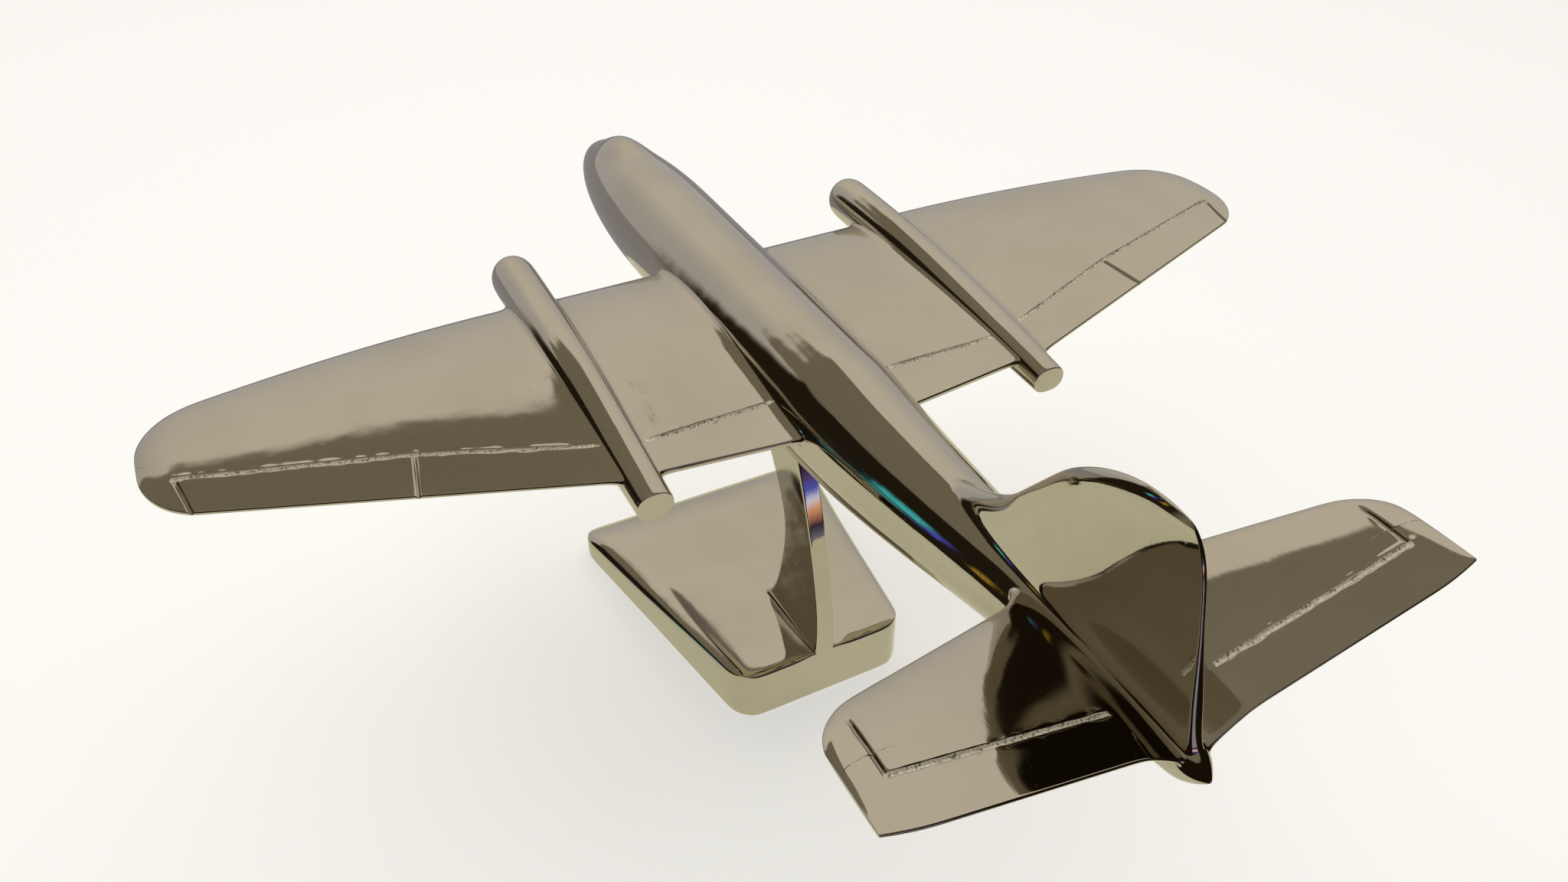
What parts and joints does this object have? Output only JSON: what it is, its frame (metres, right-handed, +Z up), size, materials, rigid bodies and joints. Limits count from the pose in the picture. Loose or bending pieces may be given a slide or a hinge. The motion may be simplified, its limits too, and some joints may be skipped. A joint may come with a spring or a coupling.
{
  "type": "desktop aircraft model",
  "caption": "Polished metal desk model of a twin-jet aircraft with scribed control surfaces, held on a curved blade pylon over a sloping foot.",
  "frame": {"origin": "on the desk top, half way between the nose and the tail cone, on the plane of symmetry", "axes": "+X towards the nose, +Y to port, +Z up"},
  "size_m": [0.3644, 0.375, 0.191],
  "materials": {
    "airframe_plate": "cast aluminium, mirror polished and nickel plated",
    "stand_plate": "cast aluminium, mirror polished and nickel plated",
    "steel": "plain turned rod",
    "felt": "dense felt"
  },
  "bodies": {
    "root": {"felt_pad": "felt", "fin": "airframe_plate", "fin_dowels": "steel", "front_spar_rod": "steel", "fuselage": "airframe_plate", "inner_wing_port": "airframe_plate", "inner_wing_starboard": "airframe_plate", "mounting_stud": "steel", "nacelle_port": "airframe_plate", "nacelle_starboard": "airframe_plate", "outer_wing_port": "airframe_plate", "outer_wing_starboard": "airframe_plate", "rear_spar_rod": "steel", "stand": "stand_plate", "tailplane_dowels_port": "steel", "tailplane_dowels_starboard": "steel", "tailplane_port": "airframe_plate", "tailplane_starboard": "airframe_plate"}
  },
  "joints": []
}
